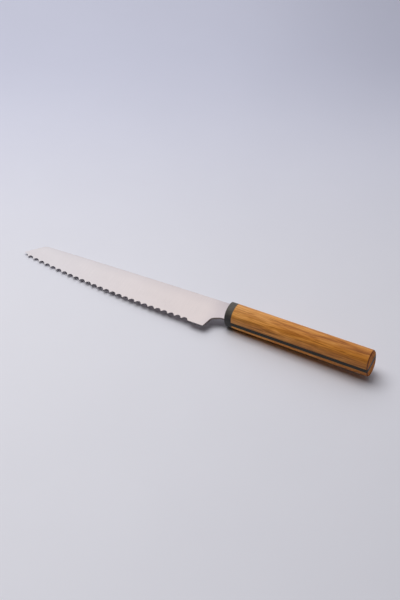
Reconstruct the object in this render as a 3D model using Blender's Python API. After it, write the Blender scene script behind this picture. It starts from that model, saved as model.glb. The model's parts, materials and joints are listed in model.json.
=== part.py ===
"""A bread knife lying on its side: a serrated steel blade whose hidden tang is pinned in a handle
made of a front collar, a dark core and two wood scales.

Every piece is modelled in the knife's own frame and then laid down by one parent empty. In that
frame the origin is on the handle's axis at the collar's front face, +X points to the butt, +Y to
the spine and +Z out of the blade's left face. Lengths are in metres.
"""

import math

import bmesh
import bpy
from mathutils import Euler, Matrix, Vector

# How the knife lies: its tip a little down and its cutting edge a little down.
PITCH = math.radians(2.2)
ROLL = math.radians(9.0)

GAP = 0.0003  # kept between pieces that touch
ROUND_SEGMENTS = 8  # in each rounded corner of an outline
SHARP_ANGLE = math.radians(30)

# Blade
BLADE_THICKNESS = 0.0020
TIP = Vector((-0.2030, -0.0124))  # where the clipped back and the edge line would meet
TIP_RADIUS = 0.0024
CLIP_CORNER = Vector((-0.1859, 0.0033))
CLIP_RADIUS = 0.010
SPINE_AT_COLLAR = 0.0093
SPINE_CROWN = 0.00045
SPINE_POINTS = 7
BELLY_START = -0.0678  # the edge is straight from the heel to here, and an arc from here to the tip
BELLY_DEPTH = 0.0212
BELLY_RADIUS = 1.04
BELLY_POINTS = 16
HEEL = Vector((-0.0145, -0.0205))
CHOIL_CORNER = Vector((-0.0115, -0.0104))
CHOIL_RADIUS = 0.004
NECK_CORNER = Vector((-0.0043, -0.0070))
NECK_RADIUS = 0.010

# Serrations, ground into the right face only
SCALLOPS = 27
SCALLOP_PITCH = 0.0064
LAST_SCALLOP_END = -0.0284
SCALLOP_DEPTH = 0.0023
TOOTH_LAND = 0.0002  # the flat left on each tooth
GRIND_ANGLE = math.radians(32)
EDGE_LAND = 0.00015  # thickness left along the plain part of the edge
CUTTER_SEGMENTS = 64
CUTTER_LENGTH = 0.040

# Tang
TANG_LENGTH = 0.092
TANG_HEIGHT = 0.012
TANG_THICKNESS = 0.0018
TANG_ROOT = 0.004  # how far the tang's blank runs into the neck
TANG_END_RADIUS = 0.003

# Handle: an oval bar whose section is a superellipse
HANDLE_LENGTH = 0.1271
HALF_HEIGHT_FRONT = 0.00954
HALF_HEIGHT_BUTT = 0.0091
HALF_WIDTH_FRONT = 0.01048
HALF_WIDTH_BUTT = 0.0123
OVAL_POWER = 2.37
OVAL_SEGMENTS = 72
COLLAR_LENGTH = 0.0062
COLLAR_ROUND = 0.0004
BUTT_CHAMFER = 0.0008
CORE_THICKNESS = 0.0041
POCKET_PLAY = 0.0004  # round the tang, in the core and in the collar

# Pins
PIN_RADIUS = 0.0020
PIN_LENGTH = 0.0150
PIN_SEGMENTS = 24
PIN_PLACES = {"front_tang_pin": 0.024, "rear_tang_pin": 0.072, "butt_dowel": 0.110}

# Colour, metallic, roughness
STEEL = ((0.72, 0.70, 0.69), 1.0, 0.30)
PIN_STEEL = ((0.55, 0.55, 0.56), 1.0, 0.35)
DARK_POLYMER = ((0.045, 0.045, 0.038), 0.0, 0.50)
COLLAR_POLYMER = ((0.075, 0.073, 0.060), 0.0, 0.45)
WOOD = ((0.52, 0.27, 0.10), 0.0, 0.50)


def clear_scene():
    for obj in list(bpy.data.objects):
        bpy.data.objects.remove(obj, do_unlink=True)


def new_collection(name):
    collection = bpy.data.collections.new(name)
    bpy.context.scene.collection.children.link(collection)
    return collection


def new_material(name, look):
    colour, metallic, roughness = look
    material = bpy.data.materials.new(name)
    material.use_nodes = True
    shader = material.node_tree.nodes["Principled BSDF"]
    shader.inputs["Base Color"].default_value = (*colour, 1.0)
    shader.inputs["Metallic"].default_value = metallic
    shader.inputs["Roughness"].default_value = roughness
    return material


def new_object(name, mesh, collection, material=None):
    obj = bpy.data.objects.new(name, mesh)
    collection.objects.link(obj)
    if material:
        mesh.materials.append(material)
    return obj


def as_cutter(obj):
    obj.hide_render = True
    obj.display_type = "WIRE"
    return obj


def shade_round(mesh):
    """Smooth over the curved faces, crisp where two faces meet at an edge."""
    mesh.shade_smooth()
    mesh.set_sharp_from_angle(angle=SHARP_ANGLE)


def cut(obj, name, operation, operand):
    """Adds a Boolean whose operand is one object or a collection of them."""
    modifier = obj.modifiers.new(name, "BOOLEAN")
    modifier.operation = operation
    modifier.solver = "EXACT"
    if isinstance(operand, bpy.types.Collection):
        modifier.operand_type = "COLLECTION"
        modifier.collection = operand
    else:
        modifier.object = operand


def rounded(before, corner, after, radius):
    """The points of an arc that rounds off the corner between two straight sides."""
    inward = (before - corner).normalized()
    outward = (after - corner).normalized()
    half = inward.angle(outward) / 2
    centre = corner + (inward + outward).normalized() * radius / math.sin(half)
    start = corner + inward * radius / math.tan(half) - centre
    turn = math.pi - 2 * half
    if start.x * (inward - outward).y - start.y * (inward - outward).x > 0:
        turn = -turn
    points = []
    for step in range(ROUND_SEGMENTS + 1):
        points.append(centre + Matrix.Rotation(turn * step / ROUND_SEGMENTS, 2) @ start)
    return points


def edge_height(x):
    """Y of the line that the tooth points and the plain edge lie on."""
    if x < BELLY_START:
        return -BELLY_DEPTH + (x - BELLY_START) ** 2 / (2 * BELLY_RADIUS)
    along = (x - BELLY_START) / (HEEL.x - BELLY_START)
    return -BELLY_DEPTH + along * (HEEL.y + BELLY_DEPTH)


def edge_slope(x):
    step = SCALLOP_PITCH / 2
    return math.atan2(edge_height(x + step) - edge_height(x - step), 2 * step)


def blade_outline():
    """The blade from the tip along the back to the collar, and home along the neck and the edge."""
    shoulder = Vector((-GAP, SPINE_AT_COLLAR))
    neck = Vector((-GAP, NECK_CORNER.y))
    belly = [Vector((BELLY_START, -BELLY_DEPTH))]
    for step in range(1, BELLY_POINTS):
        x = BELLY_START + (TIP.x - BELLY_START) * step / BELLY_POINTS
        belly.append(Vector((x, edge_height(x))))
    points = rounded(belly[-1], TIP, CLIP_CORNER, TIP_RADIUS)
    points += rounded(TIP, CLIP_CORNER, shoulder, CLIP_RADIUS)
    spine_start = points[-1]
    for step in range(1, SPINE_POINTS):
        along = step / SPINE_POINTS
        crown = Vector((0, SPINE_CROWN * 4 * along * (1 - along)))
        points.append(spine_start.lerp(shoulder, along) + crown)
    points += [shoulder, neck]
    points += rounded(neck, NECK_CORNER, CHOIL_CORNER, NECK_RADIUS)
    points += rounded(NECK_CORNER, CHOIL_CORNER, HEEL, CHOIL_RADIUS)
    return points + [HEEL] + belly


def tang_outline():
    top = TANG_HEIGHT / 2
    end = TANG_LENGTH
    corners = [Vector((-TANG_ROOT, -top)), Vector((-TANG_ROOT, top))]
    corners += rounded(Vector((0, top)), Vector((end, top)), Vector((end, 0)), TANG_END_RADIUS)
    corners += rounded(Vector((end, 0)), Vector((end, -top)), Vector((0, -top)), TANG_END_RADIUS)
    return corners


def plate_mesh(name, outline, thickness):
    """A flat plate, from a filled 2D curve extruded by half its thickness each way."""
    curve = bpy.data.curves.new(name, "CURVE")
    curve.dimensions = "2D"
    curve.fill_mode = "BOTH"
    curve.extrude = thickness / 2
    spline = curve.splines.new("POLY")
    spline.points.add(len(outline) - 1)
    for point, place in zip(spline.points, outline):
        point.co = (place.x, place.y, 0, 1)
    spline.use_cyclic_u = True
    guide = bpy.data.objects.new(name, curve)
    bpy.context.scene.collection.objects.link(guide)
    graph = bpy.context.evaluated_depsgraph_get()
    mesh = bpy.data.meshes.new_from_object(guide.evaluated_get(graph))
    bpy.data.objects.remove(guide, do_unlink=True)
    body = bmesh.new()
    body.from_mesh(mesh)
    bmesh.ops.remove_doubles(body, verts=body.verts, dist=0.00001)
    bmesh.ops.recalc_face_normals(body, faces=body.faces)
    body.to_mesh(mesh)
    body.free()
    return mesh


def box_mesh(name, low, high, placed=Matrix()):
    """A box between two corners, then turned and moved by a matrix."""
    size = Vector(high) - Vector(low)
    middle = (Vector(high) + Vector(low)) / 2
    fitted = placed @ Matrix.Translation(middle) @ Matrix.Diagonal((*size, 1))
    body = bmesh.new()
    bmesh.ops.create_cube(body, size=1, matrix=fitted)
    mesh = bpy.data.meshes.new(name)
    body.to_mesh(mesh)
    body.free()
    return mesh


def cylinder_mesh(name, radius, length, segments, placed):
    body = bmesh.new()
    bmesh.ops.create_cone(
        body,
        cap_ends=True,
        segments=segments,
        radius1=radius,
        radius2=radius,
        depth=length,
        matrix=placed,
    )
    mesh = bpy.data.meshes.new(name)
    body.to_mesh(mesh)
    body.free()
    return mesh


def section(x, inset):
    """The handle's oval at x, as points in the YZ plane, drawn in by an inset."""
    along = x / HANDLE_LENGTH
    height = HALF_HEIGHT_FRONT + (HALF_HEIGHT_BUTT - HALF_HEIGHT_FRONT) * along - inset
    width = HALF_WIDTH_FRONT + (HALF_WIDTH_BUTT - HALF_WIDTH_FRONT) * along - inset
    points = []
    for step in range(OVAL_SEGMENTS):
        turn = 2 * math.pi * step / OVAL_SEGMENTS
        cosine, sine = math.cos(turn), math.sin(turn)
        y = height * math.copysign(abs(cosine) ** (2 / OVAL_POWER), cosine)
        z = width * math.copysign(abs(sine) ** (2 / OVAL_POWER), sine)
        points.append(Vector((x, y, z)))
    return points


def oval_bar_mesh(name, rings):
    """A closed loft along the handle through the ovals at each (x, inset)."""
    body = bmesh.new()
    loops = []
    for x, inset in rings:
        loops.append([body.verts.new(point) for point in section(x, inset)])
    for near, far in zip(loops, loops[1:]):
        for step in range(OVAL_SEGMENTS):
            after = (step + 1) % OVAL_SEGMENTS
            body.faces.new((near[step], near[after], far[after], far[step]))
    body.faces.new(loops[0])
    body.faces.new(loops[-1])
    bmesh.ops.recalc_face_normals(body, faces=body.faces)
    mesh = bpy.data.meshes.new(name)
    body.to_mesh(mesh)
    body.free()
    shade_round(mesh)
    return mesh


def scallop_cutter(number, cutters):
    """The grinding wheel of one scallop: a cylinder that leans by the grind angle and meets the
    left face in an arc one tooth wide and one scallop deep."""
    half_chord = (SCALLOP_PITCH - TOOTH_LAND) / 2
    rise = SCALLOP_DEPTH * math.sin(GRIND_ANGLE)
    radius = (half_chord**2 + rise**2) / (2 * rise)
    x = LAST_SCALLOP_END - SCALLOP_PITCH * (SCALLOPS - number - 0.5)
    apex = Vector((x, edge_height(x) + SCALLOP_DEPTH, BLADE_THICKNESS / 2))
    lean = Matrix.Rotation(math.pi / 2 - GRIND_ANGLE, 4, "X")
    below = Matrix.Translation((0, -radius, 0))
    placed = Matrix.Translation(apex) @ Matrix.Rotation(edge_slope(x), 4, "Z") @ lean @ below
    name = f"scallop_cutter_{number:02d}"
    mesh = cylinder_mesh(name, radius, CUTTER_LENGTH, CUTTER_SEGMENTS, placed)
    return as_cutter(new_object(name, mesh, cutters))


def heel_bevel_cutter(cutters):
    """A wedge under the plain part of the edge, leaving a narrow land."""
    start = Vector((LAST_SCALLOP_END, edge_height(LAST_SCALLOP_END)))
    middle = (start + HEEL) / 2
    reach = (HEEL - start).length / 2
    line = Matrix.Translation((middle.x, middle.y, BLADE_THICKNESS / 2 - EDGE_LAND))
    turned = Matrix.Rotation(edge_slope(middle.x), 4, "Z") @ Matrix.Rotation(-GRIND_ANGLE, 4, "X")
    low = (-reach, -CUTTER_LENGTH / 4, -CUTTER_LENGTH / 4)
    high = (reach + SCALLOP_PITCH, CUTTER_LENGTH / 4, 0)
    mesh = box_mesh("heel_bevel_cutter", low, high, line @ turned)
    return as_cutter(new_object("heel_bevel_cutter", mesh, cutters))


def make_blade(parts, cutters, grinding, tools):
    mesh = plate_mesh("blade", blade_outline(), BLADE_THICKNESS)
    blade = new_object("blade", mesh, parts, new_material("steel", STEEL))
    tang = plate_mesh("tang_blank", tang_outline(), TANG_THICKNESS)
    cut(blade, "tang", "UNION", as_cutter(new_object("tang_blank", tang, cutters)))
    cut(blade, "serrations", "DIFFERENCE", grinding)
    cut(blade, "pin_holes", "DIFFERENCE", tools["tang_holes"])
    return blade


def pocket_cutter(cutters):
    """The slot that the tang slides into, through the collar and most of the core."""
    side = TANG_HEIGHT / 2 + POCKET_PLAY
    face = TANG_THICKNESS / 2 + POCKET_PLAY
    low = (-COLLAR_LENGTH, -side, -face)
    high = (TANG_LENGTH + POCKET_PLAY, side, face)
    return as_cutter(new_object("tang_pocket", box_mesh("tang_pocket", low, high), cutters))


def hole_cutters(name, radius, length, places, owner):
    """Cylinders across the handle, in a collection of their own."""
    group = bpy.data.collections.new(name)
    owner.children.link(group)
    for pin, x in places.items():
        placed = Matrix.Translation((x, 0, 0))
        mesh = cylinder_mesh(f"{name}_{pin}", radius, length, PIN_SEGMENTS, placed)
        as_cutter(new_object(f"{name}_{pin}", mesh, group))
    return group


def make_collar(parts, tools):
    end = COLLAR_LENGTH - GAP
    rings = [(0, COLLAR_ROUND), (COLLAR_ROUND, 0), (end, 0)]
    material = new_material("collar_polymer", COLLAR_POLYMER)
    collar = new_object("front_collar", oval_bar_mesh("front_collar", rings), parts, material)
    cut(collar, "tang_slot", "DIFFERENCE", tools["pocket"])
    return collar


def handle_bar_mesh(name):
    shoulder = HANDLE_LENGTH - BUTT_CHAMFER
    rings = [(COLLAR_LENGTH, 0), (shoulder, 0), (HANDLE_LENGTH, BUTT_CHAMFER)]
    return oval_bar_mesh(name, rings)


def slab(name, low_z, high_z, cutters):
    """A slice of space along the handle, to keep one layer of it."""
    side = 2 * HALF_WIDTH_BUTT
    low = (-side, -side, low_z)
    high = (HANDLE_LENGTH + side, side, high_z)
    return as_cutter(new_object(name, box_mesh(name, low, high), cutters))


def make_core(parts, cutters, tools):
    material = new_material("core_polymer", DARK_POLYMER)
    core = new_object("core_spacer", handle_bar_mesh("core_spacer"), parts, material)
    half = CORE_THICKNESS / 2
    cut(core, "layer", "INTERSECT", slab("core_layer", -half, half, cutters))
    cut(core, "tang_pocket", "DIFFERENCE", tools["pocket"])
    cut(core, "pin_holes", "DIFFERENCE", tools["handle_holes"])
    return core


def make_scales(parts, cutters, tools):
    material = new_material("wood", WOOD)
    inner = CORE_THICKNESS / 2 + GAP
    outer = 2 * HALF_WIDTH_BUTT
    layers = {"left_scale": (inner, outer), "right_scale": (-outer, -inner)}
    for name, (low_z, high_z) in layers.items():
        scale = new_object(name, handle_bar_mesh(name), parts, material)
        cut(scale, "layer", "INTERSECT", slab(f"{name}_layer", low_z, high_z, cutters))
        cut(scale, "pin_holes", "DIFFERENCE", tools["handle_holes"])


def make_pins(parts):
    material = new_material("pin_steel", PIN_STEEL)
    for name, x in PIN_PLACES.items():
        mesh = cylinder_mesh(name, PIN_RADIUS, PIN_LENGTH, PIN_SEGMENTS, Matrix())
        pin = new_object(name, mesh, parts, material)
        pin.location = (x, 0, 0)
        shade_round(mesh)


def lay_down(parts, cutters):
    """Hangs everything on one empty, tips it as the knife lies, and moves it so that the origin is
    under the middle of the knife's bounding box, at its lowest point."""
    rest = bpy.data.objects.new("knife_at_rest", None)
    parts.objects.link(rest)
    for obj in [*parts.all_objects, *cutters.all_objects]:
        if obj != rest:
            obj.parent = rest
    rest.rotation_euler = Euler((ROLL, -PITCH, 0))
    bpy.context.view_layer.update()
    graph = bpy.context.evaluated_depsgraph_get()
    points = []
    for obj in parts.objects:
        if obj.type == "MESH":
            evaluated = obj.evaluated_get(graph)
            points += [evaluated.matrix_world @ vertex.co for vertex in evaluated.data.vertices]
    lows = [min(point[axis] for point in points) for axis in range(3)]
    highs = [max(point[axis] for point in points) for axis in range(3)]
    rest.location = (-(lows[0] + highs[0]) / 2, -(lows[1] + highs[1]) / 2, -lows[2])


def main():
    clear_scene()
    parts = new_collection("bread_knife")
    cutters = new_collection("cutters")
    grinding = bpy.data.collections.new("grinding")
    cutters.children.link(grinding)
    for number in range(SCALLOPS):
        scallop_cutter(number, grinding)
    heel_bevel_cutter(grinding)
    tang_pins = {name: x for name, x in PIN_PLACES.items() if x < TANG_LENGTH}
    through = 2 * HALF_WIDTH_BUTT
    radius = PIN_RADIUS + GAP
    tools = {
        "pocket": pocket_cutter(cutters),
        "tang_holes": hole_cutters("tang_hole", radius, through, tang_pins, cutters),
        "handle_holes": hole_cutters("hole", radius, PIN_LENGTH + 2 * GAP, PIN_PLACES, cutters),
    }
    make_blade(parts, cutters, grinding, tools)
    make_collar(parts, tools)
    make_core(parts, cutters, tools)
    make_scales(parts, cutters, tools)
    make_pins(parts)
    lay_down(parts, cutters)


main()
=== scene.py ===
"""The finished look of a bread knife that lies on a pale floor: a satin steel blade with
hollow-ground serrations, and an oval wooden handle with a dark collar and a dark core.

Every piece is modelled in the knife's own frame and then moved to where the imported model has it.
In that frame the origin is on the handle's axis at the collar's front face, +X points to the
butt, +Y to the spine and +Z out of the blade's left face. Lengths are in metres.
"""

import json
import math

import bmesh
import bpy
import numpy as np
from mathutils import Matrix, Vector


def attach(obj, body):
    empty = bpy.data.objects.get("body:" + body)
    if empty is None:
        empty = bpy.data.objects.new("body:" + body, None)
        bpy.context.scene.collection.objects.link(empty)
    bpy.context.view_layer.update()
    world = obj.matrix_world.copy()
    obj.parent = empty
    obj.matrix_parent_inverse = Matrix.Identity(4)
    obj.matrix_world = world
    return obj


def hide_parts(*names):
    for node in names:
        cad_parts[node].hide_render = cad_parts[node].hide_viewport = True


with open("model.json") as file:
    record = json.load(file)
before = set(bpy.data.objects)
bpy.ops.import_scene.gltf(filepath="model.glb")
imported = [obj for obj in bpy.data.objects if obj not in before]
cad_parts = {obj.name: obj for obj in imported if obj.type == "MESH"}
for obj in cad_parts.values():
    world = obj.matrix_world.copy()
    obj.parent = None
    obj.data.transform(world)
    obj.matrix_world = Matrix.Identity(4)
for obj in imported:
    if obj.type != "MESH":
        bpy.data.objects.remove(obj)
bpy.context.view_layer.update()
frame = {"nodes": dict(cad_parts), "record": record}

BODY = "root"

# Blade
BLADE_THICKNESS = 0.0020
TIP = Vector((-0.20299, -0.0124))
TIP_RADIUS = 0.0024
CLIP_CORNER = Vector((-0.1859, 0.0033))
CLIP_RADIUS = 0.010
SPINE_AT_COLLAR = 0.0093
SPINE_CROWN = 0.00045
BELLY_START = -0.0678
BELLY_DEPTH = 0.0212
BELLY_RADIUS = 1.04
HEEL = Vector((-0.0145, -0.0205))
CHOIL_CORNER = Vector((-0.0115, -0.0104))
CHOIL_RADIUS = 0.004
NECK_CORNER = Vector((-0.0043, -0.0070))
NECK_RADIUS = 0.010
SPINE_CHAMFER = 0.00022

# Serrations, ground into the right face only
SCALLOPS = 27
SCALLOP_PITCH = 0.0064
LAST_SCALLOP_END = -0.0284
SCALLOP_DEPTH = 0.0023
TOOTH_LAND = 0.0002
GRIND_ANGLE = math.radians(32)
EDGE_LAND = 0.00015
KEEN_LAND = 0.00003

# The blade's mesh: its columns, and the corners of each column's section
COLUMNS_PER_SCALLOP = 20
NOSE_SEGMENTS = 40
BACK_STEPS = 40
EDGE_STEPS = 200
FIRST_COLUMN = 0.00001
LEAST_COLUMN = 0.000012
LEAST_HEIGHT = 0.00002
# An eased corner takes up to this share of the side it is on, and its middle point lies this
# share of the ease in from the sharp corner
EASE_SHARE = 0.3
CORNER_MIDDLE = 0.3

# Tang and pins
TANG_LENGTH = 0.092
TANG_HEIGHT = 0.012
TANG_THICKNESS = 0.0018
TANG_ROOT = 0.004
POCKET_PLAY = 0.0004
PIN_HOLE_RADIUS = 0.0023
PIN_HOLE_LENGTH = 0.0156
PIN_PLACES = (0.024, 0.072, 0.110)
PIN_NODES = ("front_tang_pin", "rear_tang_pin", "butt_dowel")
HOLE_SEGMENTS = 32

# Handle
HANDLE_LENGTH = 0.1271
HALF_HEIGHT_FRONT = 0.00953
HALF_HEIGHT_BUTT = 0.00909
HALF_WIDTH_FRONT = 0.01047
HALF_WIDTH_BUTT = 0.01229
OVAL_POWER = 2.37
COLLAR_LENGTH = 0.0062
COLLAR_ROUND = 0.0005
COLLAR_ROUND_STEPS = 6
BUTT_CHAMFER = 0.0008
BUTT_CHAMFER_BREAK = 0.00014
CORE_THICKNESS = 0.0041
SEAM = 0.00002
SEAM_EASE = 0.00006
HANDLE_STEPS = 24
ARC_POINTS = 72
CORE_ARC_POINTS = 10

# Every mesh
CORNER_SEGMENTS = 24
MERGE_DISTANCE = 0.000002
LEAST_EDGE = 0.000001
SHARP_ANGLE = math.radians(18)

# Studio
FLOOR_HALF_SIZE = 8.0
# Directions over the floor, in the knife's frame, along which its painted light falloff runs
FLOOR_BACK = (-0.48, 0.88, 0.0)
FLOOR_RIGHT = (0.88, 0.48, 0.0)
# Each lobe of the dome: its direction, the cosines of the angles from it between which it fades
# in, and its strength
DOME_LOBES = (
    ((-0.41, 0.40, 0.82), 0.66, 0.98, 0.85),
    ((0.25, 0.85, 0.50), 0.0, 0.90, 0.30),
)
DOME_COLOUR = (0.97, 0.965, 1.0)
# What reflections and the camera see of the dome away from its lobes
DOME_BASE = 0.42
# The softbox overhead: its name, its direction from the knife, distance, side, power and colour
SOFTBOX = ("key", (-0.30, 0.05, 0.95), 1.3, 0.9, 10.2, (1.0, 0.985, 0.97))

# Camera: round from square to the model's X axis, and up from the floor
CAMERA_AZIMUTH = math.radians(28.97)
CAMERA_ELEVATION = math.radians(43.25)
CAMERA_TARGET = Vector((0.0052, 0.0112, 0.0077))
CAMERA_DISTANCE = 1.0022
CAMERA_LENS = 71.33
CAMERA_SENSOR = 36.0


def knife_matrix(record):
    """The knife's frame in the model's: the butt's mount gives X and a place, and the blade's
    gives Z."""
    mounts = {mount["name"]: mount for mount in record["mounts"]}
    x_axis = Vector(mounts["butt_face"]["axis"]).normalized()
    z_axis = Vector(mounts["blade_face"]["axis"]).normalized()
    y_axis = z_axis.cross(x_axis)
    origin = Vector(mounts["butt_face"]["pos_m"]) - x_axis * HANDLE_LENGTH
    turned = Matrix((x_axis, y_axis, z_axis)).transposed().to_4x4()
    return Matrix.Translation(origin) @ turned


KNIFE = knife_matrix(frame["record"])


# Meshes ---------------------------------------------------------------------------------------


def rounded(before, corner, after, radius, segments=CORNER_SEGMENTS):
    """The points of an arc that rounds off the corner between two straight sides."""
    inward = (before - corner).normalized()
    outward = (after - corner).normalized()
    half = inward.angle(outward) / 2
    centre = corner + (inward + outward).normalized() * radius / math.sin(half)
    start = corner + inward * radius / math.tan(half) - centre
    turn = math.pi - 2 * half
    if start.x * (inward - outward).y - start.y * (inward - outward).x > 0:
        turn = -turn
    points = []
    for step in range(segments + 1):
        points.append(centre + Matrix.Rotation(turn * step / segments, 2) @ start)
    return points


def mesh_of(name, body):
    """A mesh with what a bmesh holds, which is then freed."""
    mesh = bpy.data.meshes.new(name)
    body.to_mesh(mesh)
    body.free()
    return mesh


def loft(name, rings):
    """A closed body through rings of equally many points, with the first and last ring filled."""
    body = bmesh.new()
    loops = [[body.verts.new(point) for point in ring] for ring in rings]
    for near, far in zip(loops, loops[1:]):
        for step in range(len(near)):
            after = (step + 1) % len(near)
            body.faces.new((near[step], near[after], far[after], far[step]))
    body.faces.new(loops[0])
    body.faces.new(loops[-1])
    bmesh.ops.remove_doubles(body, verts=body.verts, dist=MERGE_DISTANCE)
    bmesh.ops.dissolve_degenerate(body, edges=body.edges, dist=LEAST_EDGE)
    bmesh.ops.recalc_face_normals(body, faces=body.faces)
    return mesh_of(name, body)


def box_mesh(name, low, high):
    size = Vector(high) - Vector(low)
    middle = (Vector(high) + Vector(low)) / 2
    placed = Matrix.Translation(middle) @ Matrix.Diagonal((*size, 1))
    body = bmesh.new()
    bmesh.ops.create_cube(body, size=1, matrix=placed)
    return mesh_of(name, body)


def hole_meshes(length):
    """A cylinder across the handle at each pin."""
    meshes = []
    for x in PIN_PLACES:
        body = bmesh.new()
        bmesh.ops.create_cone(
            body,
            cap_ends=True,
            segments=HOLE_SEGMENTS,
            radius1=PIN_HOLE_RADIUS,
            radius2=PIN_HOLE_RADIUS,
            depth=length,
            matrix=Matrix.Translation((x, 0, 0)),
        )
        meshes.append(mesh_of("pin_hole", body))
    return meshes


def carved(mesh, steps):
    """The mesh after Booleans with other meshes, each step being (operation, mesh)."""
    obj = bpy.data.objects.new(mesh.name, mesh)
    bpy.context.scene.collection.objects.link(obj)
    others = []
    for operation, other in steps:
        tool = bpy.data.objects.new(other.name, other)
        bpy.context.scene.collection.objects.link(tool)
        modifier = obj.modifiers.new(operation, "BOOLEAN")
        modifier.operation = operation
        modifier.solver = "EXACT"
        modifier.object = tool
        others.append(tool)
    graph = bpy.context.evaluated_depsgraph_get()
    result = bpy.data.meshes.new_from_object(obj.evaluated_get(graph))
    for helper in [obj, *others]:
        bpy.data.objects.remove(helper, do_unlink=True)
    return result


def place(name, mesh, material, node):
    """Shades a mesh, moves it into the model's frame, attaches it to the body and hides the model's
    part that it stands for.
    """
    mesh.name = name
    mesh.transform(KNIFE)
    mesh.shade_smooth()
    mesh.set_sharp_from_angle(angle=SHARP_ANGLE)
    mesh.materials.clear()
    mesh.materials.append(material)
    piece = bpy.data.objects.new(name, mesh)
    bpy.context.scene.collection.objects.link(piece)
    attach(piece, BODY)
    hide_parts(node)


# Blade ----------------------------------------------------------------------------------------


def edge_height(x):
    """Y of the line that the tooth points and the plain edge lie on."""
    if x < BELLY_START:
        return -BELLY_DEPTH + (x - BELLY_START) ** 2 / (2 * BELLY_RADIUS)
    along = (x - BELLY_START) / (HEEL.x - BELLY_START)
    return -BELLY_DEPTH + along * (HEEL.y + BELLY_DEPTH)


def ground_height(x):
    """Y at which the grinding leaves no thickness. It rises to an arc in each scallop."""
    if x > LAST_SCALLOP_END:
        return edge_height(x) - EDGE_LAND / math.tan(GRIND_ANGLE)
    half_chord = (SCALLOP_PITCH - TOOTH_LAND) / 2
    rise = SCALLOP_DEPTH * math.sin(GRIND_ANGLE)
    radius = (half_chord**2 + rise**2) / (2 * rise)
    number = max(0, SCALLOPS - 1 - int((LAST_SCALLOP_END - x) / SCALLOP_PITCH))
    middle = LAST_SCALLOP_END - SCALLOP_PITCH * (SCALLOPS - number - 0.5)
    aside = x - middle
    step = SCALLOP_PITCH / 2
    slope = (edge_height(middle + step) - edge_height(middle - step)) / (2 * step)
    drop = (radius - math.sqrt(radius**2 - aside**2)) / math.sin(GRIND_ANGLE)
    return edge_height(middle) + SCALLOP_DEPTH - drop + slope * aside


def outline_curves(end_x):
    """The blade's back and its lower side as two curves of x: arrays of x and y for each."""
    shoulder = Vector((end_x, SPINE_AT_COLLAR))
    before_tip = Vector((TIP.x + SCALLOP_PITCH, edge_height(TIP.x + SCALLOP_PITCH)))
    nose = rounded(before_tip, TIP, CLIP_CORNER, TIP_RADIUS, NOSE_SEGMENTS)
    foremost = min(range(len(nose)), key=lambda index: nose[index].x)
    back = nose[foremost:] + rounded(TIP, CLIP_CORNER, shoulder, CLIP_RADIUS)
    spine_start = back[-1]
    for step in range(1, BACK_STEPS + 1):
        along = step / BACK_STEPS
        crown = Vector((0, SPINE_CROWN * 4 * along * (1 - along)))
        back.append(spine_start.lerp(shoulder, along) + crown)
    under = nose[: foremost + 1][::-1]
    # These points are closest together by the tip and by the heel
    for step in range(1, EDGE_STEPS):
        x = under[-1].x + (HEEL.x - under[-1].x) * step / EDGE_STEPS
        if x > nose[0].x:
            under.append(Vector((x, edge_height(x))))
    under.append(HEEL)
    neck = Vector((end_x, NECK_CORNER.y))
    under += rounded(HEEL, CHOIL_CORNER, NECK_CORNER, CHOIL_RADIUS)
    under += rounded(CHOIL_CORNER, NECK_CORNER, neck, NECK_RADIUS)
    under.append(neck)
    return np.array(back).T, np.array(under).T


def column_places(foremost, back, under, end_x):
    """The x of every column of the blade's mesh: every corner of an outline and of a scallop."""
    places = {foremost + FIRST_COLUMN, end_x, HEEL.x, LAST_SCALLOP_END}
    places |= {float(x) for x in back[0]} | {float(x) for x in under[0] if x > HEEL.x}
    land = TOOTH_LAND / 2
    for number in range(SCALLOPS):
        start = LAST_SCALLOP_END - SCALLOP_PITCH * (SCALLOPS - number)
        places.add(start)
        for step in range(COLUMNS_PER_SCALLOP + 1):
            places.add(start + land + (SCALLOP_PITCH - 2 * land) * step / COLUMNS_PER_SCALLOP)
    found = []
    for x in sorted(places):
        if foremost < x <= end_x and (not found or x - found[-1] > LEAST_COLUMN):
            found.append(x)
    return found


def blade_ring(x, top, low):
    """The blade's section at x: a plate whose right face is ground down to the edge and whose
    back has eased corners."""
    half = BLADE_THICKNESS / 2
    ground = ground_height(x)
    grade = math.tan(GRIND_ANGLE)

    def right_face(y):
        return min(max(-half, half - (y - ground) * grade), half - KEEN_LAND)

    low = min(low, top)
    turn = min(max(ground + BLADE_THICKNESS / grade, low), top)
    wall = half - right_face(top)
    ease = min(SPINE_CHAMFER, wall * EASE_SHARE, (top - low) * EASE_SHARE)
    inset = ease * CORNER_MIDDLE
    turn = min(turn, top - ease)
    section = [
        (low, half),
        (low + (top - ease - low) / 2, half),
        (top - ease, half),
        (top - inset, half - inset),
        (top, half - ease),
        (top, right_face(top) + ease),
        (top - inset, right_face(top) + inset),
        (top - ease, right_face(top - ease)),
        (turn + (top - ease - turn) / 2, right_face(turn + (top - ease - turn) / 2)),
        (turn, right_face(turn)),
        (low + (turn - low) * 2 / 3, right_face(low + (turn - low) * 2 / 3)),
        (low + (turn - low) / 3, right_face(low + (turn - low) / 3)),
        (low, right_face(low)),
    ]
    return [Vector((x, y, z)) for y, z in section]


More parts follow.
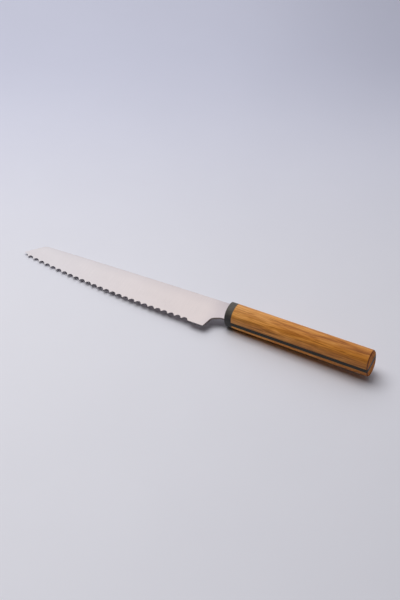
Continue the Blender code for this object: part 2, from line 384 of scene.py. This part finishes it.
def make_blade(material):
    end_x = -SEAM
    back, under = outline_curves(end_x)
    rings = []
    for x in column_places(float(back[0][0]), back, under, end_x):
        top = float(np.interp(x, *back))
        low = float(np.interp(x, *under))
        if x < HEEL.x:
            low = max(low, ground_height(x))
        if top - low > LEAST_HEIGHT:
            rings.append(blade_ring(x, top, low))
    plate = loft("blade", rings)
    side = TANG_HEIGHT / 2
    face = TANG_THICKNESS / 2
    tang = box_mesh("tang", (-TANG_ROOT, -side, -face), (TANG_LENGTH, side, face))
    steps = [("UNION", tang)]
    steps += [("DIFFERENCE", mesh) for mesh in hole_meshes(2 * HALF_WIDTH_BUTT)]
    place("blade_steel", carved(plate, steps), material, "blade")


# Handle ---------------------------------------------------------------------------------------


def half_sizes(x, inset):
    """The half height and half width of the handle's oval at x, each less the inset."""
    along = x / HANDLE_LENGTH
    height = HALF_HEIGHT_FRONT + (HALF_HEIGHT_BUTT - HALF_HEIGHT_FRONT) * along - inset
    width = HALF_WIDTH_FRONT + (HALF_WIDTH_BUTT - HALF_WIDTH_FRONT) * along - inset
    return height, width


def oval_arc(x, inset, low_z, high_z, count):
    """Points of the handle's oval on its +Y side, from low_z up to high_z."""
    height, width = half_sizes(x, inset)

    def angle_of(z):
        share = min(abs(z) / width, 1.0)
        return math.copysign(math.asin(share ** (OVAL_POWER / 2)), z)

    start, end = angle_of(low_z), angle_of(high_z)
    points = []
    for step in range(count + 1):
        turn = start + (end - start) * step / count
        y = height * math.cos(turn) ** (2 / OVAL_POWER)
        z = width * math.copysign(abs(math.sin(turn)) ** (2 / OVAL_POWER), turn)
        points.append(Vector((x, y, z)))
    return points


def mirrored(points):
    return [Vector((point.x, -point.y, point.z)) for point in reversed(points)]


def scale_ring(x, inset, side):
    """A scale's section: the oval outside the core, with eased corners along the seam."""
    seam = CORE_THICKNESS / 2 + SEAM
    _, width = half_sizes(x, inset)
    arc = oval_arc(x, inset, seam + SEAM_EASE, width, ARC_POINTS)
    corner = Vector((x, arc[0].y - SEAM_EASE, seam))
    across = mirrored(arc)
    ring = [corner, *arc, *across[1:], Vector((x, -corner.y, seam))]
    if side < 0:
        ring = [Vector((point.x, point.y, -point.z)) for point in ring]
    return ring


def core_ring(x, inset):
    """The core's section: flat faces against the scales and the oval's ends between them."""
    half = CORE_THICKNESS / 2
    arc = oval_arc(x, inset, -half + SEAM_EASE, half - SEAM_EASE, CORE_ARC_POINTS)
    ring = [Vector((x, arc[0].y - SEAM_EASE, -half)), *arc]
    ring += [Vector((x, arc[-1].y - SEAM_EASE, half))]
    return ring + mirrored(ring)


def collar_ring(x, inset):
    """The collar's section: the whole oval."""
    _, width = half_sizes(x, inset)
    arc = oval_arc(x, inset, -width, width, 2 * ARC_POINTS)
    return arc + mirrored(arc)[1:-1]


def handle_stations():
    """(x, inset) along the wood and the core, with an eased front seam and a butt chamfer whose
    two edges are broken."""
    start = COLLAR_LENGTH + SEAM / 2
    shoulder = HANDLE_LENGTH - BUTT_CHAMFER
    soft = BUTT_CHAMFER_BREAK
    stations = [(start, SEAM_EASE), (start + SEAM_EASE, 0)]
    for step in range(1, HANDLE_STEPS):
        stations.append((start + (shoulder - start) * step / HANDLE_STEPS, 0))
    stations += [
        (shoulder - soft, 0),
        (shoulder + soft * 0.3, soft * 0.5),
        (HANDLE_LENGTH - soft, BUTT_CHAMFER - soft * 1.1),
        (HANDLE_LENGTH - soft * 0.3, BUTT_CHAMFER - soft * 0.2),
        (HANDLE_LENGTH, BUTT_CHAMFER + soft * 0.5),
    ]
    return stations


def collar_stations():
    """(x, inset) along the collar, with a rounded front edge and an eased seam."""
    end = COLLAR_LENGTH - SEAM / 2
    stations = []
    for step in reversed(range(COLLAR_ROUND_STEPS + 1)):
        turn = math.pi / 2 * step / COLLAR_ROUND_STEPS
        inset = COLLAR_ROUND * (1 - math.cos(turn))
        stations.append((COLLAR_ROUND * (1 - math.sin(turn)), inset))
    stations += [(end / 2, 0), (end - SEAM_EASE, 0), (end, SEAM_EASE)]
    return stations


def handle_piece(name, rings, cavities, material, node):
    """A piece of the handle: the body through its rings, less its cavities."""
    carving = [("DIFFERENCE", cavity) for cavity in cavities]
    place(name, carved(loft(name, rings), carving), material, node)


def pocket_mesh():
    """The room for the tang, open at the collar's front face."""
    side = TANG_HEIGHT / 2 + POCKET_PLAY
    face = TANG_THICKNESS / 2 + POCKET_PLAY
    low = (-COLLAR_LENGTH, -side, -face)
    return box_mesh("pocket", low, (TANG_LENGTH + POCKET_PLAY, side, face))


def make_handle(wood, core, collar):
    stations = handle_stations()
    for name, side in (("left_scale", 1), ("right_scale", -1)):
        rings = [scale_ring(x, inset, side) for x, inset in stations]
        holes = hole_meshes(PIN_HOLE_LENGTH)
        handle_piece(f"{name}_wood", rings, holes, wood, name)
    rings = [core_ring(x, inset) for x, inset in stations]
    inside = [pocket_mesh(), *hole_meshes(PIN_HOLE_LENGTH)]
    handle_piece("core_strip", rings, inside, core, "core_spacer")
    rings = [collar_ring(x, inset) for x, inset in collar_stations()]
    handle_piece("collar_ring", rings, [pocket_mesh()], collar, "front_collar")


# Materials ------------------------------------------------------------------------------------


class Look:
    """A node material, with short calls for the nodes used here."""

    def __init__(self, name, axes):
        self.material = bpy.data.materials.new(name)
        self.material.use_nodes = True
        self.tree = self.material.node_tree
        self.shader = self.tree.nodes["Principled BSDF"]
        self.coordinates = self.tree.nodes.new("ShaderNodeTexCoord")
        self.coordinates.object = axes
        self.place = self.coordinates.outputs["Object"]

    def join(self, value, socket):
        if isinstance(value, bpy.types.NodeSocket):
            self.tree.links.new(value, socket)
        else:
            socket.default_value = value

    def math(self, operation, first, second=0.0, third=0.0):
        node = self.tree.nodes.new("ShaderNodeMath")
        node.operation = operation
        for value, socket in zip((first, second, third), node.inputs):
            self.join(value, socket)
        return node.outputs[0]

    def stretched(self, scale):
        node = self.tree.nodes.new("ShaderNodeVectorMath")
        node.operation = "MULTIPLY"
        self.join(self.place, node.inputs[0])
        node.inputs[1].default_value = scale
        return node.outputs[0]

    def noise(self, scale, detail=2.0, roughness=0.5, distortion=0.0):
        """Noise whose scale is cells per metre along X, Y and Z of the knife."""
        node = self.tree.nodes.new("ShaderNodeTexNoise")
        self.join(self.stretched(scale), node.inputs["Vector"])
        node.inputs["Scale"].default_value = 1.0
        node.inputs["Detail"].default_value = detail
        node.inputs["Roughness"].default_value = roughness
        node.inputs["Distortion"].default_value = distortion
        return node.outputs["Fac"]

    def axis(self, name):
        node = self.tree.nodes.new("ShaderNodeSeparateXYZ")
        self.join(self.place, node.inputs[0])
        return node.outputs[name]

    def dot(self, vector, direction):
        node = self.tree.nodes.new("ShaderNodeVectorMath")
        node.operation = "DOT_PRODUCT"
        self.join(vector, node.inputs[0])
        node.inputs[1].default_value = direction
        return node.outputs["Value"]

    def along(self, direction):
        """How far a point is from the knife's origin in a direction of the knife's frame."""
        return self.dot(self.place, direction)

    def facing(self, direction):
        """1 where the surface faces along a direction or against it, and 0 where it is square to
        it."""
        return self.math("ABSOLUTE", self.dot(self.coordinates.outputs["Normal"], direction))

    def ramp(self, factor, stops):
        """A colour that goes through the stops, each being (position, colour)."""
        node = self.tree.nodes.new("ShaderNodeValToRGB")
        self.join(factor, node.inputs["Fac"])
        elements = node.color_ramp.elements
        while len(elements) < len(stops):
            elements.new(0.5)
        for element, (position, colour) in zip(elements, stops):
            element.position = position
            element.color = (*colour, 1.0)
        return node.outputs["Color"]

    def spread(self, value, low, high, to_low=0.0, to_high=1.0):
        """The value's range from low to high, carried smoothly to that from to_low to to_high."""
        node = self.tree.nodes.new("ShaderNodeMapRange")
        node.interpolation_type = "SMOOTHSTEP"
        for number, given in enumerate((value, low, high, to_low, to_high)):
            self.join(given, node.inputs[number])
        return node.outputs[0]

    def mix(self, factor, first, second, blend="MIX"):
        """The second colour over the first. Sockets 6 and 7 and output 2 are the node's colours."""
        node = self.tree.nodes.new("ShaderNodeMix")
        node.data_type = "RGBA"
        node.blend_type = blend
        self.join(factor, node.inputs["Factor"])
        self.join(first, node.inputs[6])
        self.join(second, node.inputs[7])
        return node.outputs[2]

    def tint(self, factor, colour, by):
        """The colour, multiplied by another as far as the factor says."""
        return self.mix(factor, colour, (*by, 1.0), "MULTIPLY")

    def bump(self, height, distance, strength=1.0):
        node = self.tree.nodes.new("ShaderNodeBump")
        self.join(height, node.inputs["Height"])
        node.inputs["Distance"].default_value = distance
        node.inputs["Strength"].default_value = strength
        self.join(node.outputs["Normal"], self.shader.inputs["Normal"])

    def finish(self, colour, roughness, **constants):
        """The material, with its colour and roughness joined and its other sockets set."""
        self.join(colour, self.shader.inputs["Base Color"])
        self.join(roughness, self.shader.inputs["Roughness"])
        for name, value in constants.items():
            self.shader.inputs[name.replace("_", " ")].default_value = value
        return self.material


def steel_look(axes):
    """Satin steel, ground across the blade and a little cloudy. It is warmer towards the neck. It
    is darker by the neck and towards the back as painted shade, and dark on its unground sides (the
    back, the choil and the heel) as a painted dark reflection."""
    look = Look("satin_steel", axes)
    lines = look.noise((3600, 70, 70), 3.0, 0.65)
    clouds = look.noise((26, 40, 40), 2.0)
    tone = look.math("ADD", look.math("MULTIPLY", lines, 0.5), look.math("MULTIPLY", clouds, 0.5))
    colour = look.ramp(tone, [(0.30, (0.69, 0.655, 0.660)), (0.70, (0.83, 0.79, 0.795))])
    towards_neck = look.spread(look.axis("X"), TIP.x, -TANG_ROOT)
    colour = look.tint(towards_neck, colour, (0.97, 0.915, 0.875))
    # Painted shade and reflection: the blade is darker by the neck.
    neck_painted_shade = look.spread(look.axis("X"), 1.5 * HEEL.x, -TANG_ROOT)
    colour = look.tint(neck_painted_shade, colour, (0.86, 0.86, 0.89))
    # Painted shade: the blade is darker towards its back.
    back_painted_shade = look.spread(look.axis("Y"), -0.004, SPINE_AT_COLLAR)
    colour = look.tint(back_painted_shade, colour, (0.90, 0.905, 0.92))
    # Painted dark reflection: the unground sides, the back, the choil and the heel, are darkened.
    across_blade = KNIFE.col[2].xyz
    dark_side_painted_reflection = look.spread(look.facing(across_blade), 0.35, 0.65, 1.0, 0.0)
    colour = look.tint(dark_side_painted_reflection, colour, (0.30, 0.27, 0.25))
    roughness = look.spread(tone, 0.30, 0.70, 0.27, 0.37)
    look.bump(lines, 0.000006, 0.4)
    return look.finish(colour, roughness, Metallic=1.0)


def wood_look(axes):
    """Oiled, straight-grained wood: soft bands, streaks, fine fibres and short pores along X. It
    is paler by the collar, paler on the belly side as painted light bounced up from the floor,
    darker towards the butt, and dark on the butt's chamfer."""
    look = Look("oiled_wood", axes)
    bands = look.noise((16, 230, 230), 3.0, 0.55, 0.9)
    streaks = look.noise((45, 800, 800), 3.0, 0.6, 0.6)
    fibres = look.noise((120, 2300, 2300), 3.0, 0.6)
    pores = look.spread(look.noise((110, 2000, 2000), 1.0), 0.60, 0.74)
    tone = look.math("MULTIPLY", bands, 0.38)
    tone = look.math("MULTIPLY_ADD", streaks, 0.44, tone)
    tone = look.math("MULTIPLY_ADD", fibres, 0.18, tone)
    tone = look.math("MULTIPLY_ADD", pores, 0.08, tone)
    colour = look.ramp(
        tone,
        [
            (0.38, (0.80, 0.385, 0.100)),
            (0.46, (0.68, 0.285, 0.055)),
            (0.53, (0.54, 0.200, 0.031)),
            (0.61, (0.34, 0.112, 0.014)),
        ],
    )
    towards_butt = look.spread(look.axis("X"), HANDLE_LENGTH * 0.3, HANDLE_LENGTH)
    colour = look.tint(towards_butt, colour, (0.80, 0.74, 0.60))
    by_collar = look.spread(look.axis("X"), COLLAR_LENGTH, HANDLE_LENGTH * 0.5, 1.0, 0.0)
    colour = look.tint(by_collar, colour, (1.06, 1.18, 1.60))
    # Painted light, as bounced up from the floor: the belly side is paler.
    belly_painted_bounce_light = look.spread(look.axis("Y"), -HALF_HEIGHT_BUTT, 0.0, 1.0, 0.0)
    colour = look.tint(belly_painted_bounce_light, colour, (1.28, 1.26, 1.15))
    shoulder = HANDLE_LENGTH - BUTT_CHAMFER
    on_chamfer = look.spread(look.axis("X"), shoulder - 0.0002, shoulder + 0.0002)
    on_face = look.spread(look.axis("X"), HANDLE_LENGTH - 0.00012, HANDLE_LENGTH - 0.00002)
    face = look.tint(1.0, colour, (1.0, 0.90, 0.86))
    colour = look.mix(on_face, look.tint(on_chamfer, colour, (0.34, 0.22, 0.20)), face)
    roughness = look.spread(tone, 0.3, 0.9, 0.42, 0.55)
    roughness = look.math("MULTIPLY_ADD", on_face, 0.45, roughness)
    height = look.math("SUBTRACT", look.math("MULTIPLY", fibres, 0.4), pores)
    look.bump(height, 0.00003, 0.5)
    return look.finish(colour, roughness, Specular_IOR_Level=0.35)


def polymer_look(name, axes, dark, light, roughness, specular, belly_shade):
    """Fibre-filled polymer, faintly mottled, with fine sanding lines along the handle. Along the
    belly its colour is darkened by a factor, as painted shade on the lower side."""
    look = Look(name, axes)
    mottle = look.noise((380, 520, 520), 4.0, 0.6)
    sanding = look.noise((70, 3200, 3200), 2.0)
    tone = look.math("MULTIPLY_ADD", sanding, 0.4, look.math("MULTIPLY", mottle, 0.6))
    colour = look.ramp(tone, [(0.32, dark), (0.68, light)])
    # Painted shade: the colour is darkened towards the belly by the given factor.
    belly = -HALF_HEIGHT_FRONT
    belly_painted_shade = look.spread(look.axis("Y"), belly, 0.55 * belly, 1.0, 0.0)
    colour = look.tint(belly_painted_shade, colour, (belly_shade, belly_shade, belly_shade))
    rough = look.spread(tone, 0.3, 0.7, roughness - 0.05, roughness + 0.06)
    look.bump(tone, 0.00003, 0.5)
    return look.finish(colour, rough, Specular_IOR_Level=specular)


def pin_look(axes):
    """Drawn steel wire, cut to length."""
    look = Look("drawn_pin_steel", axes)
    lines = look.noise((900, 900, 60), 2.0)
    colour = look.ramp(lines, [(0.3, (0.45, 0.45, 0.46)), (0.7, (0.62, 0.62, 0.63))])
    return look.finish(colour, look.spread(lines, 0.3, 0.7, 0.28, 0.42), Metallic=1.0)


def floor_look(axes):
    """A matt backdrop, bluer towards the back, with painted light falloff: a little darker towards
    the back, lighter to the left and darker to the right, most of all in its far right corner."""
    look = Look("pale_floor", axes)
    mottle = look.noise((9, 9, 9), 4.0, 0.6)
    colour = look.ramp(mottle, [(0.3, (0.765, 0.770, 0.830)), (0.7, (0.780, 0.785, 0.845))])
    back = look.along(FLOOR_BACK)
    across = look.along(FLOOR_RIGHT)
    # Painted light falloff: darker towards the back, where it is also bluer.
    colour = look.tint(look.spread(back, -0.02, 0.44), colour, (0.84, 0.86, 0.96))
    # Painted light falloff: a lighter copy of the floor for the left and a darker one for the
    # right.
    left = look.tint(1.0, colour, (1.06, 1.06, 1.06))
    right = look.tint(1.0, colour, (0.93, 0.93, 0.94))
    colour = look.mix(look.spread(across, -0.28, 0.28), left, right)
    # Painted light falloff: darker still in the far right corner.
    far = look.spread(back, 0.20, 0.44)
    far_right_painted_falloff = look.math("MULTIPLY", far, look.spread(across, 0.0, 0.20, 0.4, 1.0))
    colour = look.tint(far_right_painted_falloff, colour, (0.83, 0.83, 0.84))
    return look.finish(colour, 0.6, Specular_IOR_Level=0.2)


# Stage ----------------------------------------------------------------------------------------


def make_floor(material):
    half = FLOOR_HALF_SIZE
    mesh = bpy.data.meshes.new("floor")
    corners = [(-half, -half, 0), (half, -half, 0), (half, half, 0), (-half, half, 0)]
    mesh.from_pydata(corners, [], [(0, 1, 2, 3)])
    mesh.materials.append(material)
    floor = bpy.data.objects.new("floor", mesh)
    bpy.context.scene.collection.objects.link(floor)


def make_light(name, towards, distance, size, energy, colour):
    """A square softbox that stands off in a direction and faces the knife. It is kept out of
    reflections, where the bright part of the dome stands in for it."""
    data = bpy.data.lights.new(name, "AREA")
    data.shape = "SQUARE"
    data.size = size
    data.energy = energy
    data.color = colour
    light = bpy.data.objects.new(name, data)
    bpy.context.scene.collection.objects.link(light)
    direction = Vector(towards).normalized()
    light.location = direction * distance
    light.rotation_mode = "QUATERNION"
    light.rotation_quaternion = direction.to_track_quat("Z", "Y")
    light.visible_glossy = False


def make_world():
    """A studio dome, bright overhead and behind the knife, and an even grey elsewhere that only
    reflections and the camera see."""
    world = bpy.data.worlds.new("studio")
    world.use_nodes = True
    tree = world.node_tree
    background = tree.nodes["Background"]
    coordinates = tree.nodes.new("ShaderNodeTexCoord")
    ray = tree.nodes.new("ShaderNodeLightPath")

    def combine(operation, first, second):
        node = tree.nodes.new("ShaderNodeMath")
        node.operation = operation
        for value, socket in zip((first, second), node.inputs):
            if isinstance(value, float):
                socket.default_value = value
            else:
                tree.links.new(value, socket)
        return node.outputs[0]

    lobes = []
    for towards, start, end, strength in DOME_LOBES:
        facing = tree.nodes.new("ShaderNodeVectorMath")
        facing.operation = "DOT_PRODUCT"
        facing.inputs[1].default_value = Vector(towards).normalized()
        level = tree.nodes.new("ShaderNodeMapRange")
        level.interpolation_type = "SMOOTHSTEP"
        for number, value in enumerate((start, end, 0.0, strength)):
            level.inputs[number + 1].default_value = value
        tree.links.new(coordinates.outputs["Generated"], facing.inputs[0])
        tree.links.new(facing.outputs["Value"], level.inputs[0])
        lobes.append(level.outputs[0])
    seen = combine("ADD", ray.outputs["Is Glossy Ray"], ray.outputs["Is Camera Ray"])
    total = combine("MAXIMUM", combine("ADD", *lobes), combine("MULTIPLY", seen, DOME_BASE))
    tree.links.new(total, background.inputs["Strength"])
    background.inputs["Color"].default_value = (*DOME_COLOUR, 1.0)
    bpy.context.scene.world = world


def make_camera():
    flat = math.cos(CAMERA_ELEVATION)
    x = math.sin(CAMERA_AZIMUTH) * flat
    y = -math.cos(CAMERA_AZIMUTH) * flat
    back = Vector((x, y, math.sin(CAMERA_ELEVATION)))
    data = bpy.data.cameras.new("camera")
    data.lens = CAMERA_LENS
    data.sensor_width = CAMERA_SENSOR
    data.sensor_fit = "AUTO"
    camera = bpy.data.objects.new("camera", data)
    bpy.context.scene.collection.objects.link(camera)
    camera.location = CAMERA_TARGET + back * CAMERA_DISTANCE
    camera.rotation_mode = "QUATERNION"
    camera.rotation_quaternion = (-back).to_track_quat("-Z", "Y")
    bpy.context.scene.camera = camera


def main():
    bpy.context.scene.view_settings.view_transform = "Standard"
    axes = bpy.data.objects.new("knife_axes", None)
    bpy.context.scene.collection.objects.link(axes)
    axes.matrix_world = KNIFE
    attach(axes, BODY)
    make_blade(steel_look(axes))
    core = polymer_look(
        "core_sheet",
        axes,
        dark=(0.018, 0.019, 0.013),
        light=(0.034, 0.035, 0.025),
        roughness=0.50,
        specular=0.25,
        belly_shade=1.0,
    )
    collar = polymer_look(
        "collar_resin",
        axes,
        dark=(0.070, 0.064, 0.054),
        light=(0.121, 0.110, 0.092),
        roughness=0.42,
        specular=0.35,
        # painted shade on the collar's belly side
        belly_shade=0.18,
    )
    make_handle(wood_look(axes), core, collar)
    pins = pin_look(axes)
    for name in PIN_NODES:
        frame["nodes"][name].data.materials.clear()
        frame["nodes"][name].data.materials.append(pins)
    make_floor(floor_look(axes))
    make_light(*SOFTBOX)
    make_world()
    make_camera()


main()
